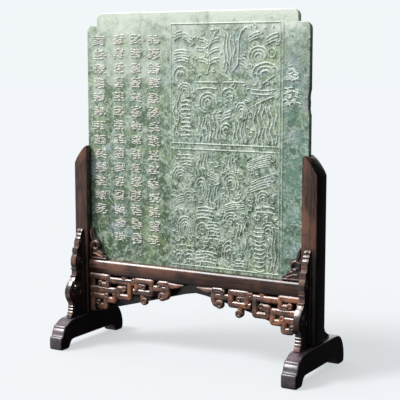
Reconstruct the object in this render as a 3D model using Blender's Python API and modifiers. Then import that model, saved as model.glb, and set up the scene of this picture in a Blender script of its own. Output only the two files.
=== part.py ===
"""A jade table screen that stands upright in a dark hardwood stand.

The slab stands in grooves in a rail and in two posts. Each post rises from a long arched foot, with a
scalloped bracket in front and a plain brace behind. Pierced key-fret aprons hang below the rail.
"""

import math

import bmesh
import bpy
from mathutils import Matrix

MM = 0.001

# Clearance between pieces that touch
GAP = 0.3 * MM

# Jade slab
SLAB_WIDTH = 250 * MM
SLAB_THICKNESS = 6.3 * MM
SLAB_HEIGHT = 258.9 * MM
NOTCH = 11.9 * MM
NOTCH_ROUND = 7.0 * MM
SLAB_EDGE = 0.5 * MM

# Raised frame lines of the slab's right-hand panel, measured from the slab's middle and its top edge
LINE_WIDTH = 1.0 * MM
LINE_RELIEF = 0.45 * MM
PANEL_LEFT = -24.0 * MM
PANEL_RIGHT = 95.0 * MM
PANEL_LINE_PITCH = 3.0 * MM
PANEL_TOP_DROP = 12.2 * MM
PANEL_MIDDLE_DROP = 128.0 * MM
PANEL_MIDDLE_PITCH = 5.4 * MM
PANEL_FOOT_DROP = 249.3 * MM

# Rail
RAIL_HEIGHT = 15.5 * MM
RAIL_DEPTH = 17.3 * MM
RAIL_UNDERSIDE = 73.0 * MM
RAIL_ROUND = 2.0 * MM
RAIL_BELLY = 0.7 * MM
RAIL_GROOVE = 6.0 * MM

# Posts
POST_WIDTH = 16.3 * MM
POST_DEPTH = 21.9 * MM
POST_TOP = 207.0 * MM
POST_GROOVE = 3.5 * MM
POST_SHOULDER = 19.0 * MM
POST_CREST = 2.2 * MM
POST_EDGE = 1.6 * MM

# Feet
FOOT_LENGTH = 111.2 * MM
FOOT_WIDTH = 15.3 * MM
FOOT_HEIGHT = 29.5 * MM
FOOT_OUTSET = 1.8 * MM
TOE_LENGTH = 12.6 * MM
ARCH_RISE = 8.6 * MM
ARCH_RAMP = 11.0 * MM
FOOT_EDGE = 0.8 * MM

# Standing brackets in front of the posts and braces behind them
SPANDREL_THICKNESS = 7.2 * MM
SPANDREL_RISE = 90.2 * MM
SPANDREL_REACH = 25.8 * MM
BRACE_RISE = 82.0 * MM
BRACE_REACH = 23.0 * MM
EYE_SLOT = 2.6 * MM

# Corner brackets on the rail
BRACKET_RUN = 21.0 * MM
BRACKET_RISE = 33.2 * MM
BRACKET_THICKNESS = 4.8 * MM
BRACKET_HOLE = 3.8 * MM

# Aprons
APRON_THICKNESS = 4.4 * MM
APRON_SETBACK = 0.4 * MM
FRET_DROP = 38.7 * MM
FRET_BAND = 4.2 * MM
FRET_TIP_GAP = 14.4 * MM
REAR_APRON_END_DROP = 40.7 * MM
REAR_APRON_MIDDLE_DROP = 7.4 * MM

# Places that follow from the sizes above
RAIL_TOP = RAIL_UNDERSIDE + RAIL_HEIGHT
SLAB_BOTTOM = RAIL_TOP - RAIL_GROOVE
SLAB_TOP = SLAB_BOTTOM + SLAB_HEIGHT
POST_INNER = SLAB_WIDTH / 2 - POST_GROOVE
POST_OUTER = POST_INNER + POST_WIDTH
POST_CENTRE = POST_INNER + POST_WIDTH / 2
FOOT_CENTRE = POST_CENTRE + FOOT_OUTSET
STANDING = FOOT_HEIGHT + GAP
RAIL_RUN = POST_INNER - GAP
SLOT_WIDTH = SLAB_THICKNESS + 2 * GAP
APRON_TOP = RAIL_UNDERSIDE - GAP

# The key fret's own grid: its length from the post and its drop below the rail
FRET_GRID = (114.0, 38.7)

# The lower corner bracket's outline as shares of its run and rise
BRACKET_OUTLINE = (
    (0, 0), (1, 0), (0.97, 0.11), (0.79, 0.14), (0.76, 0.22), (0.65, 0.265), (0.53, 0.32),
    (0.585, 0.41), (0.57, 0.53), (0.46, 0.625), (0.28, 0.66), (0.22, 0.79), (0.13, 0.94), (0, 1),
)

# The standing bracket's front edge from its tip down: height at the top and at the foot of each member
# and its reach there, as shares of the rise and the reach, with its bulge as a share of the reach
SPANDREL_MEMBERS = (
    (1.000, 0.957, 0.05, 0.13, 0.035),
    (0.957, 0.917, 0.14, 0.20, 0.035),
    (0.917, 0.879, 0.20, 0.27, 0.035),
    (0.879, 0.830, 0.31, 0.35, 0.010),
    (0.830, 0.794, 0.32, 0.37, 0.000),
    (0.794, 0.741, 0.44, 0.49, 0.010),
    (0.741, 0.708, 0.44, 0.48, 0.000),
    (0.708, 0.563, 0.51, 0.52, 0.075),
    (0.563, 0.546, 0.57, 0.57, 0.000),
    (0.546, 0.480, 0.52, 0.53, 0.000),
    (0.480, 0.461, 0.61, 0.61, 0.000),
    (0.461, 0.420, 0.58, 0.70, 0.000),
    (0.420, 0.168, 0.77, 0.80, 0.210),
    (0.168, 0.140, 0.79, 0.78, 0.000),
    (0.140, 0.106, 0.76, 0.77, 0.035),
    (0.106, 0.073, 0.78, 0.79, 0.035),
    (0.073, 0.040, 0.80, 0.83, 0.035),
    (0.040, 0.000, 0.86, 0.93, 0.020),
)

# The foot's toe from the floor up, as distance back from the toe's tip and share of the foot's height
TOE_PROFILE = (
    (0.6 * MM, 0.00), (0.0 * MM, 0.03), (0.0 * MM, 0.32), (1.5 * MM, 0.36), (2.2 * MM, 0.48),
    (3.8 * MM, 0.52), (5.2 * MM, 0.66), (6.6 * MM, 0.70), (8.2 * MM, 0.82), (11.4 * MM, 0.94),
    (16.0 * MM, 0.99), (22.0 * MM, 1.00),
)


def clear_scene():
    for existing in list(bpy.data.objects):
        bpy.data.objects.remove(existing, do_unlink=True)


def collection(name, hidden=False):
    made = bpy.data.collections.new(name)
    made.hide_render = hidden
    bpy.context.scene.collection.children.link(made)
    return made


def surface(name, colour, roughness):
    material = bpy.data.materials.new(name)
    material.use_nodes = True
    shader = material.node_tree.nodes["Principled BSDF"]
    shader.inputs["Base Color"].default_value = (*colour, 1)
    shader.inputs["Roughness"].default_value = roughness
    return material


def arc(centre, radius_across, radius_up, start, end, steps):
    """Points on an ellipse's arc, with the angles in degrees."""
    points = []
    for step in range(steps + 1):
        angle = math.radians(start + (end - start) * step / steps)
        across = centre[0] + radius_across * math.cos(angle)
        up = centre[1] + radius_up * math.sin(angle)
        points.append((across, up))
    return points


def plate(name, outline, near, far, along, group, material):
    """A closed outline made solid between two planes.

    Along Y the outline lies in X and Z. Along X it lies in Y and Z.
    """
    curve = bpy.data.curves.new(name, "CURVE")
    curve.dimensions = "2D"
    curve.fill_mode = "BOTH"
    curve.extrude = (far - near) / 2
    spline = curve.splines.new("POLY")
    spline.points.add(len(outline) - 1)
    for point, (across, up) in zip(spline.points, outline):
        point.co = (across, up, 0, 1)
    spline.use_cyclic_u = True
    drawn = bpy.data.objects.new(name + "_outline", curve)
    middle = (near + far) / 2
    upright = Matrix.Rotation(math.radians(90), 4, "X")
    if along == "Y":
        drawn.matrix_world = Matrix.Translation((0, middle, 0)) @ upright
    else:
        turned = Matrix.Rotation(math.radians(90), 4, "Z") @ upright
        drawn.matrix_world = Matrix.Translation((middle, 0, 0)) @ turned
    group.objects.link(drawn)
    bpy.context.view_layer.update()
    return settled(drawn, name, group, material, flat_caps=True)


def settled(source, name, group, material, flat_caps=False):
    """The evaluated shape of an object as a plain mesh object, in place of that object."""
    graph = bpy.context.evaluated_depsgraph_get()
    mesh = bpy.data.meshes.new_from_object(source.evaluated_get(graph))
    mesh.transform(source.matrix_world)
    bpy.data.objects.remove(source, do_unlink=True)
    shape = bmesh.new()
    shape.from_mesh(mesh)
    bmesh.ops.remove_doubles(shape, verts=shape.verts, dist=0.002 * MM)
    if flat_caps:
        flat = math.radians(0.2)
        bmesh.ops.dissolve_limit(shape, angle_limit=flat, verts=shape.verts, edges=shape.edges)
    bmesh.ops.recalc_face_normals(shape, faces=shape.faces)
    shape.to_mesh(mesh)
    shape.free()
    mesh.materials.clear()
    mesh.materials.append(material)
    made = bpy.data.objects.new(name, mesh)
    group.objects.link(made)
    bpy.context.view_layer.update()
    return made


def block(name, low, high, group, material):
    """A box between two opposite corners."""
    bpy.ops.mesh.primitive_cube_add(size=1)
    made = bpy.context.active_object
    for other in list(made.users_collection):
        other.objects.unlink(made)
    group.objects.link(made)
    made.name = name
    size = [b - a for a, b in zip(low, high)]
    middle = [(a + b) / 2 for a, b in zip(low, high)]
    made.data.transform(Matrix.Translation(middle) @ Matrix.Diagonal((*size, 1)))
    made.data.materials.append(material)
    return made


def peg(name, centre, diameter, near, far, along, group, material):
    """A round bar between two planes."""
    outline = arc(centre, diameter / 2, diameter / 2, 0, 330, 11)
    return plate(name, outline, near, far, along, group, material)


def rounded(made, width, segments=2):
    """Softens an object's sharp edges."""
    bevel = made.modifiers.new("softened edges", "BEVEL")
    bevel.width = width
    bevel.segments = segments
    bevel.limit_method = "ANGLE"
    bevel.angle_limit = math.radians(50)


def combined(made, others, operation, solver="EXACT"):
    """Joins other objects to one object or cuts them from it, and keeps the result as its mesh."""
    name = made.name
    group = made.users_collection[0]
    material = made.data.materials[0]
    for other in others:
        boolean = made.modifiers.new(operation.lower(), "BOOLEAN")
        boolean.operation = operation
        boolean.solver = solver
        boolean.object = other
    bpy.context.view_layer.update()
    made.name = name + "_before"
    result = settled(made, name, group, material)
    for other in others:
        bpy.data.objects.remove(other, do_unlink=True)
    return result


def band(path, width):
    """The outline of a flat band of even width along a path of straight runs, with mitred corners."""
    half = width / 2
    left = []
    right = []
    for index, point in enumerate(path):
        before = path[max(index - 1, 0)]
        after = path[min(index + 1, len(path) - 1)]
        arriving = _unit(before, point) if index else _unit(point, after)
        leaving = _unit(point, after) if index < len(path) - 1 else arriving
        across = (-arriving[1] - leaving[1], arriving[0] + leaving[0])
        scale = half / (0.5 * (across[0] ** 2 + across[1] ** 2))
        offset = (across[0] * scale, across[1] * scale)
        left.append((point[0] + offset[0], point[1] + offset[1]))
        right.append((point[0] - offset[0], point[1] - offset[1]))
    return left + right[::-1]


def _unit(start, end):
    run = (end[0] - start[0], end[1] - start[1])
    length = math.hypot(*run)
    return run[0] / length, run[1] / length


def build_slab(group, jade):
    half = SLAB_WIDTH / 2
    shoulder = SLAB_TOP - NOTCH
    step = half - NOTCH
    turn = NOTCH_ROUND
    right = [(half, SLAB_BOTTOM)]
    right += arc((half - turn, shoulder - turn), turn, turn, 0, 90, 5)
    right += [(step, shoulder)]
    right += arc((step - turn, SLAB_TOP - turn), turn, turn, 0, 90, 5)
    left = [(-across, up) for across, up in reversed(right)]
    front = -SLAB_THICKNESS / 2
    slab = plate("jade_slab", right + left, front, -front, "Y", group, jade)
    rounded(slab, SLAB_EDGE)
    slab = combined(slab, [], "UNION")

    top = SLAB_TOP - PANEL_TOP_DROP
    foot = SLAB_TOP - PANEL_FOOT_DROP
    middle = SLAB_TOP - PANEL_MIDDLE_DROP
    width = LINE_WIDTH
    levels = [top, middle, middle - PANEL_MIDDLE_PITCH, foot]
    uprights = [PANEL_LEFT, PANEL_RIGHT, PANEL_RIGHT + PANEL_LINE_PITCH]
    relief = front - LINE_RELIEF
    sunk = front + SLAB_EDGE
    lines = []
    for level in levels:
        low = (PANEL_LEFT - width / 2, relief, level - width / 2)
        high = (PANEL_RIGHT + width / 2, sunk, level + width / 2)
        lines.append(block("line", low, high, group, jade))
    for upright in uprights:
        low = (upright - width / 2, relief, foot - width / 2)
        high = (upright + width / 2, sunk, top + width / 2)
        lines.append(block("line", low, high, group, jade))
    combined(slab, lines, "UNION")


def build_rail(group, wood):
    half = RAIL_DEPTH / 2
    lip = SLOT_WIDTH / 2
    floor = SLAB_BOTTOM - GAP
    turn = RAIL_ROUND
    front = [(-lip, RAIL_TOP)]
    front += arc((-half + turn, RAIL_TOP - turn), turn, turn, 90, 180, 3)
    front += [(-half - RAIL_BELLY * 0.6, RAIL_UNDERSIDE + RAIL_HEIGHT * 0.6)]
    front += [(-half - RAIL_BELLY * 0.5, RAIL_UNDERSIDE + RAIL_HEIGHT * 0.3)]
    front += arc((-half + turn, RAIL_UNDERSIDE + turn), turn, turn, 180, 270, 3)
    rear = [(-across, up) for across, up in reversed(front)]
    outline = [(-lip, floor)] + front + rear + [(lip, floor)]
    plate("rail", outline, -RAIL_RUN, RAIL_RUN, "X", group, wood)


def build_post(side, word, group, cutters, wood):
    crest = POST_INNER + POST_CREST
    spring = POST_TOP - POST_SHOULDER
    shoulder = arc((crest, spring), POST_OUTER - crest, POST_SHOULDER, 0, 90, 8)
    outline = [(POST_INNER, STANDING), (POST_OUTER, STANDING)] + shoulder + [(POST_INNER, POST_TOP)]
    outline = [(side * across, up) for across, up in outline]
    half = POST_DEPTH / 2
    post = plate("post_" + word, outline, -half, half, "Y", group, wood)
    rounded(post, POST_EDGE)
    post = combined(post, [], "UNION")

    lip = SLOT_WIDTH / 2
    deep = POST_INNER + POST_GROOVE + GAP
    ends = sorted((side * (POST_INNER - POST_GROOVE), side * deep))
    low = (ends[0], -lip, SLAB_BOTTOM - GAP)
    high = (ends[1], lip, POST_TOP + POST_GROOVE)
    combined(post, [block("groove_" + word, low, high, cutters, wood)], "DIFFERENCE")


def build_foot(side, word, group, wood):
    tip = FOOT_LENGTH / 2
    toe = [(-tip + back, share * FOOT_HEIGHT) for back, share in TOE_PROFILE]
    heel = -tip + TOE_LENGTH
    arch = [(heel, 0)]
    for share in (0.25, 0.5, 0.75, 1.0):
        rise = ARCH_RISE * 0.5 * (1 - math.cos(math.pi * share))
        arch.append((heel + ARCH_RAMP * share, rise))
    front = arch[::-1] + toe
    rear = [(-across, up) for across, up in reversed(front)]
    centre = side * FOOT_CENTRE
    near = centre - FOOT_WIDTH / 2
    foot = plate("foot_" + word, front + rear, near, near + FOOT_WIDTH, "X", group, wood)
    rounded(foot, FOOT_EDGE)
    combined(foot, [], "UNION")


def spandrel_edge():
    """The front edge of a standing bracket from its foot up, as reach from the post and height."""
    edge = []
    for top, bottom, reach_top, reach_bottom, bulge in reversed(SPANDREL_MEMBERS):
        steps = 6 if bulge > 0.1 else 3 if bulge > 0.02 else 1
        for step in range(steps + 1):
            share = step / steps
            reach = reach_bottom + (reach_top - reach_bottom) * share + bulge * math.sin(math.pi * share)
            edge.append((reach * SPANDREL_REACH, (bottom + (top - bottom) * share) * SPANDREL_RISE))
    return edge


def build_spandrel(side, word, group, cutters, wood):
    face = POST_DEPTH / 2 + GAP
    outline = [(-face, STANDING)]
    outline += [(-face - reach, STANDING + up) for reach, up in spandrel_edge()]
    outline += [(-face, STANDING + SPANDREL_RISE)]
    near = side * POST_CENTRE - SPANDREL_THICKNESS / 2
    far = near + SPANDREL_THICKNESS
    made = plate("spandrel_front_" + word, outline, near, far, "X", group, wood)

    eyes = []
    for reach, up, radius in ((0.50, 0.295, 0.24), (0.27, 0.635, 0.13)):
        centre = (-face - reach * SPANDREL_REACH, STANDING + up * SPANDREL_RISE)
        swing = arc(centre, radius * SPANDREL_REACH, radius * SPANDREL_REACH, -50, 200, 9)
        slot = band(swing, EYE_SLOT * (1 if radius > 0.2 else 0.7))
        eyes.append(plate("eye_" + word, slot, near - GAP, far + GAP, "X", cutters, wood))
    combined(made, eyes, "DIFFERENCE")


def build_brace(side, word, group, wood):
    face = POST_DEPTH / 2 + GAP
    outline = [(face, STANDING)]
    steps = 12
    for step in range(steps + 1):
        share = step / steps
        reach = BRACE_REACH * (0.30 * (1 - share) ** 0.5 + 0.70 * (1 - share) ** 14)
        outline.append((face + reach, STANDING + share * BRACE_RISE))
    near = side * POST_CENTRE - SPANDREL_THICKNESS / 2
    far = near + SPANDREL_THICKNESS
    plate("spandrel_rear_" + word, outline, near, far, "X", group, wood)


def build_corner_bracket(side, word, group, cutters, wood):
    low = RAIL_TOP + GAP
    outline = []
    for run, rise in BRACKET_OUTLINE:
        outline.append((side * (RAIL_RUN - run * BRACKET_RUN), low + rise * BRACKET_RISE))
    far = -SLAB_THICKNESS / 2 - LINE_RELIEF - GAP
    near = far - BRACKET_THICKNESS
    made = plate("corner_bracket_" + word, outline, near, far, "Y", group, wood)
    centre = (side * (RAIL_RUN - 0.32 * BRACKET_RUN), low + 0.42 * BRACKET_RISE)
    hole = peg("hole_" + word, centre, BRACKET_HOLE, near - GAP, far + GAP, "Y", cutters, wood)
    combined(made, [hole], "DIFFERENCE")


def fret_paths(side_inset, top_inset):
    """Each band of the key fret as a path on its grid: distance from the post, drop below the rail.

    The insets are half a band, so that the first bands lie flush with the post and the rail.
    """
    return (
        ((side_inset, 0), (side_inset, FRET_GRID[1])),
        ((side_inset, top_inset), (21.7, top_inset), (21.7, 10.4), (12.0, 10.4)),
        ((side_inset, 15.7), (30.0, 15.7), (30.0, 25.9), (21.0, 25.9), (20.2, 22.6)),
        ((side_inset, 23.0), (18.4, 23.0), (18.4, 33.0), (10.2, 33.0), (9.6, 30.6)),
        ((21.7, 4.9), (57.6, 4.9)),
        ((48.9, 4.9), (48.9, 20.9), (35.2, 20.9), (35.2, 13.0), (41.6, 13.0)),
        ((41.7, 0), (41.7, 4.9)),
        ((53.8, 13.9), (75.6, 13.9), (75.6, top_inset), (57.6, top_inset), (57.6, 13.9)),
        ((57.6, 7.8), (65.5, 7.8)),
        ((64.7, 13.9), (64.7, 22.6), (67.4, 23.4)),
        ((75.6, 7.8), (94.6, 7.8)),
        ((85.0, top_inset), (94.6, top_inset), (94.6, 11.5), (92.8, 15.0), (88.4, 16.2)),
    )


# The scroll ends of the key fret on its grid: distance from the post, drop, radius in band widths
FRET_SCROLLS = (
    (12.2, 8.9, 0.64), (19.6, 21.9, 0.62), (9.3, 29.7, 0.60), (42.4, 12.6, 0.60),
    (66.2, 7.8, 0.57), (67.8, 22.8, 0.67), (87.4, 15.4, 0.81), (84.6, 2.6, 0.60),
)

# The pointed leaf that ends the fret near the middle, on the same grid
FRET_LEAF = (
    (94.6, 0), (114.0, 0), (113.2, 1.4), (109.0, 3.4), (104.5, 6.2), (100.5, 7.2), (97.0, 6.0), (94.6, 3.0),
)


def build_front_apron(side, word, group, wood):
    length = RAIL_RUN - FRET_TIP_GAP / 2
    across = length / FRET_GRID[0]
    down = FRET_DROP / FRET_GRID[1]
    near = -RAIL_DEPTH / 2 + APRON_SETBACK
    far = near + APRON_THICKNESS

    def place(point):
        return side * (RAIL_RUN - point[0] * across), APRON_TOP - point[1] * down

    half = FRET_BAND / 2
    paths = fret_paths(half / across, half / down)
    outlines = [band([place(point) for point in path], FRET_BAND) for path in paths]
    for distance, drop, radius in FRET_SCROLLS:
        reach = radius * FRET_BAND
        outlines.append(arc(place((distance, drop)), reach, reach, 0, 330, 11))
    outlines.append([place(point) for point in FRET_LEAF])
    pieces = []
    for outline in outlines:
        piece = plate("band_" + word, outline, near, far, "Y", group, wood)
        pieces.append(piece)
    pieces[0].name = "apron_front_" + word
    combined(pieces[0], pieces[1:], "UNION", "MANIFOLD")


def build_rear_apron(group, wood):
    near = RAIL_DEPTH / 2 - APRON_SETBACK - APRON_THICKNESS
    drop = REAR_APRON_END_DROP - REAR_APRON_MIDDLE_DROP
    edge = []
    steps = 14
    for step in range(-steps, steps + 1):
        share = step / steps
        rise = drop * (1 - abs(share)) ** 1.35
        edge.append((share * RAIL_RUN, APRON_TOP - REAR_APRON_END_DROP + rise))
    outline = edge + [(RAIL_RUN, APRON_TOP), (-RAIL_RUN, APRON_TOP)]
    plate("apron_rear", outline, near, near + APRON_THICKNESS, "Y", group, wood)


def main():
    clear_scene()
    screen = collection("table_screen")
    cutters = collection("cutters", hidden=True)
    jade = surface("jade", (0.22, 0.32, 0.23), 0.38)
    wood = surface("dark_hardwood", (0.035, 0.018, 0.014), 0.34)

    build_slab(screen, jade)
    build_rail(screen, wood)
    build_rear_apron(screen, wood)
    for side, word in ((-1, "left"), (1, "right")):
        build_post(side, word, screen, cutters, wood)
        build_foot(side, word, screen, wood)
        build_spandrel(side, word, screen, cutters, wood)
        build_brace(side, word, screen, wood)
        build_corner_bracket(side, word, screen, cutters, wood)
        build_front_apron(side, word, screen, wood)


main()
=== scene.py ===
# %% [markdown]
# # A jade table screen in its hardwood stand
# The object is one upright plate of green jade, inscribed on its front, that stands in grooves cut into a
# dark wooden stand. The stand has a rail, two posts, two long feet, scalloped brackets and pierced aprons.
# Their solids are loaded first as a fixed frame, and every step below dresses one of them.

# %% Load the frame
import math
import random

import bmesh
import bpy
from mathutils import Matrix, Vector


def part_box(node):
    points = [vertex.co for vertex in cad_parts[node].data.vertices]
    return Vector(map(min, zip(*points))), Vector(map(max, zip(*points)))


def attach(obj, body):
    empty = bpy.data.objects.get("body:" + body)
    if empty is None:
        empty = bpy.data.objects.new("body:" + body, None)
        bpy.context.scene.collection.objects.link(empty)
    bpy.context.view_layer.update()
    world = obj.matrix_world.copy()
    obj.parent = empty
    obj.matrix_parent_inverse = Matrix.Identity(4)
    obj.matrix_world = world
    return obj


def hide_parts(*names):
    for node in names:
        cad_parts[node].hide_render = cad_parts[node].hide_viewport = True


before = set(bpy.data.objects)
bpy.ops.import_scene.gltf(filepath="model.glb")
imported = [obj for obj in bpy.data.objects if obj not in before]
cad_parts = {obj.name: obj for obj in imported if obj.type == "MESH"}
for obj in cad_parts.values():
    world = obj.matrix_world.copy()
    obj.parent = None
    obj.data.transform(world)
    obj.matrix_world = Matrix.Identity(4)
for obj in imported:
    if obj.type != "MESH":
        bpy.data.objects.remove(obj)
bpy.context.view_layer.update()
MM = 0.001
BODY = "root"

# %% [markdown]
# ## The camera
# The photograph looks slightly down on the screen from its right. A camera is easiest to place by what it
# looks at: a target near the middle of the slab's front face, a distance, and two angles. The lens is long,
# so the slab's top and bottom edges run almost parallel.

# %% Camera
SLAB_LOW, SLAB_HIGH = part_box("jade_slab")
SLAB_FRONT = -3.15 * MM
VIEW_TARGET = Vector((9.15 * MM, SLAB_FRONT, 158.3 * MM))
VIEW_DISTANCE = 1051.7 * MM
VIEW_SIDE = math.radians(30.29)
VIEW_DOWN = math.radians(7.37)
LENS_MM = 96.56
SENSOR_MM = 36.0


def add_camera():
    back = Vector((
        math.sin(VIEW_SIDE) * math.cos(VIEW_DOWN),
        -math.cos(VIEW_SIDE) * math.cos(VIEW_DOWN),
        math.sin(VIEW_DOWN),
    ))
    data = bpy.data.cameras.new("view")
    data.lens = LENS_MM
    data.sensor_width = SENSOR_MM
    data.clip_end = 20
    camera = bpy.data.objects.new("view", data)
    camera.location = VIEW_TARGET + back * VIEW_DISTANCE
    camera.rotation_euler = back.to_track_quat("Z", "Y").to_euler()
    bpy.context.scene.collection.objects.link(camera)
    bpy.context.scene.camera = camera
    return camera


camera = add_camera()
print("camera at", [round(value, 3) for value in camera.location])

# %% [markdown]
# ## Shader maths as plain expressions
# A material is a graph of nodes, and sums in it are easier to read as formulas. The class below wraps one
# output socket, so that `1 - mask` or `grain * 0.4` adds the Math nodes itself. Its partner builds every
# other node from its type, its settings and the values of its sockets.


# %% Sockets that take part in arithmetic
class Signal:
    """One number that varies over a surface."""

    def __init__(self, finish, socket):
        self.finish = finish
        self.socket = socket

    def _with(self, operation, first, second):
        node = self.finish.node("ShaderNodeMath", {"operation": operation}, {0: first, 1: second})
        return Signal(self.finish, node.outputs[0])

    def __add__(self, other):
        return self._with("ADD", self, other)

    def __radd__(self, other):
        return self._with("ADD", other, self)

    def __sub__(self, other):
        return self._with("SUBTRACT", self, other)

    def __rsub__(self, other):
        return self._with("SUBTRACT", other, self)

    def __mul__(self, other):
        return self._with("MULTIPLY", self, other)

    def __rmul__(self, other):
        return self._with("MULTIPLY", other, self)

    def most(self, other):
        return self._with("MAXIMUM", self, other)

    def size(self):
        return self._with("ABSOLUTE", self, 0.0)


# %% Nodes by type, settings and sockets
class Nodes:
    """A tree of nodes that is built one node at a time."""

    def node(self, kind, settings=None, sockets=None):
        made = self.tree.nodes.new(kind)
        for name, value in (settings or {}).items():
            if name == "stops":
                self._stops(made.color_ramp, value)
            else:
                setattr(made, name, value)
        for name, value in (sockets or {}).items():
            self.feed(made.inputs[name], value)
        return made

    def _stops(self, ramp, stops):
        while len(ramp.elements) < len(stops):
            ramp.elements.new(1.0)
        for element, (position, colour) in zip(ramp.elements, stops):
            element.position = position
            element.color = (*colour, 1.0)

    def feed(self, target, value):
        if isinstance(value, Signal):
            self.tree.links.new(value.socket, target)
        elif isinstance(value, bpy.types.NodeSocket):
            self.tree.links.new(value, target)
        elif isinstance(value, tuple) and len(value) == 3 and target.type == "RGBA":
            target.default_value = (*value, 1.0)
        else:
            target.default_value = value

    def set(self, socket, value):
        """Feeds one of the shader's own sockets."""
        self.feed(self.shader.inputs[socket], value)


# %% Patterns over a surface
class Patterns(Nodes):
    """Soft steps, mixed colours, places and noise, each in one call."""

    def step(self, value, low, high, smooth=True):
        """0 below low, 1 above high, and a soft rise between."""
        settings = {"interpolation_type": "SMOOTHSTEP" if smooth else "LINEAR", "clamp": True}
        sockets = {"Value": value, "From Min": low, "From Max": high}
        return Signal(self, self.node("ShaderNodeMapRange", settings, sockets).outputs[0])

    def mix(self, factor, first, second):
        settings = {"data_type": "RGBA", "blend_type": "MIX", "clamp_factor": True}
        return self.node("ShaderNodeMix", settings, {0: factor, 6: first, 7: second}).outputs[2]

    def ramp(self, factor, stops):
        return self.node("ShaderNodeValToRGB", {"stops": stops}, {0: factor}).outputs[0]

    def along(self, axis):
        """How far along X, Y or Z a point lies, in metres."""
        return Signal(self, self.node("ShaderNodeSeparateXYZ", None, {0: self.place}).outputs[axis])

    def zone(self, axis, near, far, stray=None):
        """0 before one place along an axis and 1 beyond the other, both in millimetres."""
        place = self.along(axis)
        if stray is not None:
            place = place + stray
        return self.step(place, near * MM, far * MM)

    def noise(self, scale, detail=3.0, roughness=0.5, distortion=0.0, stretch=(1, 1, 1)):
        """Soft random variation in cells for each metre, drawn out where the stretch is below 1."""
        place = self.node("ShaderNodeVectorMath", {"operation": "MULTIPLY"}, {0: self.place, 1: stretch})
        sockets = {
            "Vector": place.outputs[0], "Scale": scale, "Detail": detail,
            "Roughness": roughness, "Distortion": distortion,
        }
        return Signal(self, self.node("ShaderNodeTexNoise", None, sockets).outputs[0])


# %% One finish
class Finish(Patterns):
    """One procedural material."""

    def __init__(self, name, **shader_values):
        self.material = bpy.data.materials.new(name)
        self.material.use_nodes = True
        self.tree = self.material.node_tree
        self.shader = self.tree.nodes["Principled BSDF"]
        for socket, value in shader_values.items():
            self.shader.inputs[socket.replace("_", " ")].default_value = value
        self.place = self.node("ShaderNodeTexCoord").outputs["Object"]

    def bump(self, height, strength, distance):
        sockets = {"Height": height, "Strength": strength, "Distance": distance}
        self.set("Normal", self.node("ShaderNodeBump", None, sockets).outputs[0])

    def spots(self, ovals):
        """1 in the middle of soft ovals on the slab's face, falling to 0 at their edges."""
        total = None
        for across, up, wide, high in ovals:
            aside = (self.along("X") - across * MM) * (1 / (wide * MM))
            above = (self.along("Z") - up * MM) * (1 / (high * MM))
            oval = self.step(aside * aside + above * above, 1.0, 0.25)
            total = oval if total is None else total.most(oval)
        return total


print("shader helpers ready")

# %% [markdown]
# ## Jade
# Nephrite jade is a mass of felted fibres, so its colour is cloudy: sage green with darker olive clouds,
# thin pale veins and some bluish drifts. The slab is palest along its top edge, where a band was left
# plain; that pale band is partly the stone's colour and partly a painted broad highlight. Several layers
# of noise at different scales give the clouds, and a few soft ovals put the broad light and dark areas
# where the real slab has them.

# %% Jade colours
# The stone between the strokes, from the foot of the slab to its top: share of the height and colour
GROUND = (
    (0.00, (0.074, 0.128, 0.066)), (0.35, (0.106, 0.176, 0.096)), (0.60, (0.175, 0.258, 0.160)),
    (0.82, (0.295, 0.378, 0.265)), (0.96, (0.400, 0.480, 0.365)),
)
OLIVE = (0.046, 0.098, 0.034)
MOSS = (0.170, 0.240, 0.080)
CURD = (0.430, 0.530, 0.420)
MILK = (0.660, 0.720, 0.630)
MIST = (0.290, 0.360, 0.380)
TEAL = (0.088, 0.222, 0.155)
# The pale top band: partly the stone's paler colour, partly a painted broad highlight
TOP_PALE_AND_SHEEN = (0.740, 0.810, 0.690)
LEAF = (0.330, 0.440, 0.190)
LAKE = (0.190, 0.320, 0.310)
BLUSH = (0.450, 0.455, 0.440)
BRUISE = (0.150, 0.150, 0.200)

# Dark and pale clouds on the slab's face: centre and radii in millimetres
DARK_CLOUDS = (
    (-35, 187, 9, 8), (-36, 171, 9, 8), (-33, 112, 13, 16), (-60, 104, 13, 12), (-102, 152, 9, 14),
    (-82, 104, 9, 9), (-24, 128, 9, 12), (-108, 128, 14, 13), (66, 160, 6, 14), (-98, 262, 6, 12),
    (-56, 270, 8, 10), (-55, 236, 9, 9), (60, 240, 6, 20), (35, 108, 12, 10), (-78, 155, 7, 12),
    (-30, 150, 7, 20), (58, 310, 5, 18), (-97, 228, 5, 9), (-55, 148, 8, 10), (2, 236, 6, 12),
)
PALE_CLOUDS = (
    (-90, 322, 34, 14), (-20, 324, 22, 12), (-45, 305, 14, 14), (20, 306, 26, 14), (-108, 300, 14, 10),
    (-5, 152, 30, 9), (15, 100, 20, 6), (110, 155, 9, 6), (-14, 300, 12, 16), (70, 322, 30, 8),
    (-88, 296, 34, 34), (-50, 288, 16, 22), (-112, 268, 10, 18),
)
BLUE_DRIFTS = (
    (-115, 186, 16, 14), (-100, 205, 20, 8), (-88, 122, 18, 9), (110, 285, 15, 26), (108, 226, 12, 10),
    (-88, 140, 14, 8), (112, 116, 14, 12), (70, 272, 20, 20), (85, 175, 16, 18), (48, 300, 14, 24),
)
# A worn place on the right edge: pinkish where it ends above and below, and dull violet between
BLUSH_SPOTS = ((121.0, 263.5, 4.0, 5.0), (120.5, 250.0, 5.0, 7.0))
BRUISE_SPOTS = ((122.5, 256.0, 4.5, 9.0),)


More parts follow.
